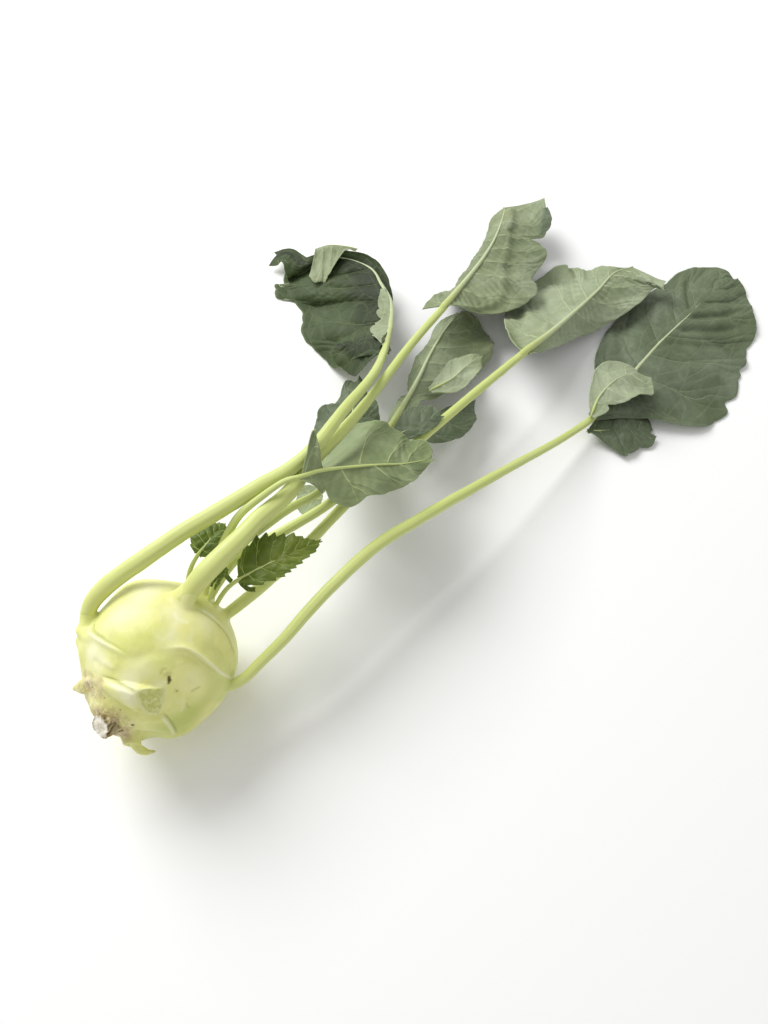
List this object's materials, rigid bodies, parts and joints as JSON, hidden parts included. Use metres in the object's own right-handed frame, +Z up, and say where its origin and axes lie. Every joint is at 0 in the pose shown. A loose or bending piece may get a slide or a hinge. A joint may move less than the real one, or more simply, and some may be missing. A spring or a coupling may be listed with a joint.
{
  "type": "kohlrabi",
  "caption": "Kohlrabi as picked, lying on its side: a round pale green bulb with a root stub, long leaf stalks fanned to one side and broad wavy leaf blades.",
  "frame": {"origin": "on the floor under the middle of the whole plant's box", "axes": "+Z up from the floor it lies on, +Y from the bulb towards the leaf tips"},
  "size_m": [0.2729, 0.4265, 0.0825],
  "materials": {
    "bulb": "waxy skin",
    "stalk": "waxy, finely ribbed",
    "blade_upper": "matt, pale veins",
    "blade_under": "matt, raised pale veins",
    "young_blade": "slightly glossy, toothed",
    "root": "rough, woody"
  },
  "bodies": {
    "root": {"bulb": "bulb", "root_stub": "root", "leaf_1_stalk": "stalk", "leaf_1_blade": "blade_upper", "leaf_2_stalk": "stalk", "leaf_2_blade": "blade_under", "leaf_3_stalk": "stalk", "leaf_3_blade": "blade_under", "leaf_4_stalk": "stalk", "leaf_4_blade": "blade_upper", "leaf_4_lobe_1": "blade_under", "leaf_4_lobe_2": "blade_upper", "leaf_5_stalk": "stalk", "leaf_5_blade": "blade_under", "leaf_6_stalk": "stalk", "leaf_6_blade": "blade_upper", "leaf_6_lobe": "blade_under", "leaf_7_stalk": "stalk", "leaf_7_blade": "blade_under", "leaf_7_lobe_1": "blade_upper", "leaf_7_lobe_2": "blade_under", "leaf_7_lobe_3": "blade_upper", "young_leaf_1_stalk": "stalk", "young_leaf_1_blade": "young_blade", "young_leaf_2_stalk": "stalk", "young_leaf_2_blade": "young_blade", "young_leaf_3_stalk": "stalk", "young_leaf_3_blade": "young_blade"}
  },
  "joints": []
}
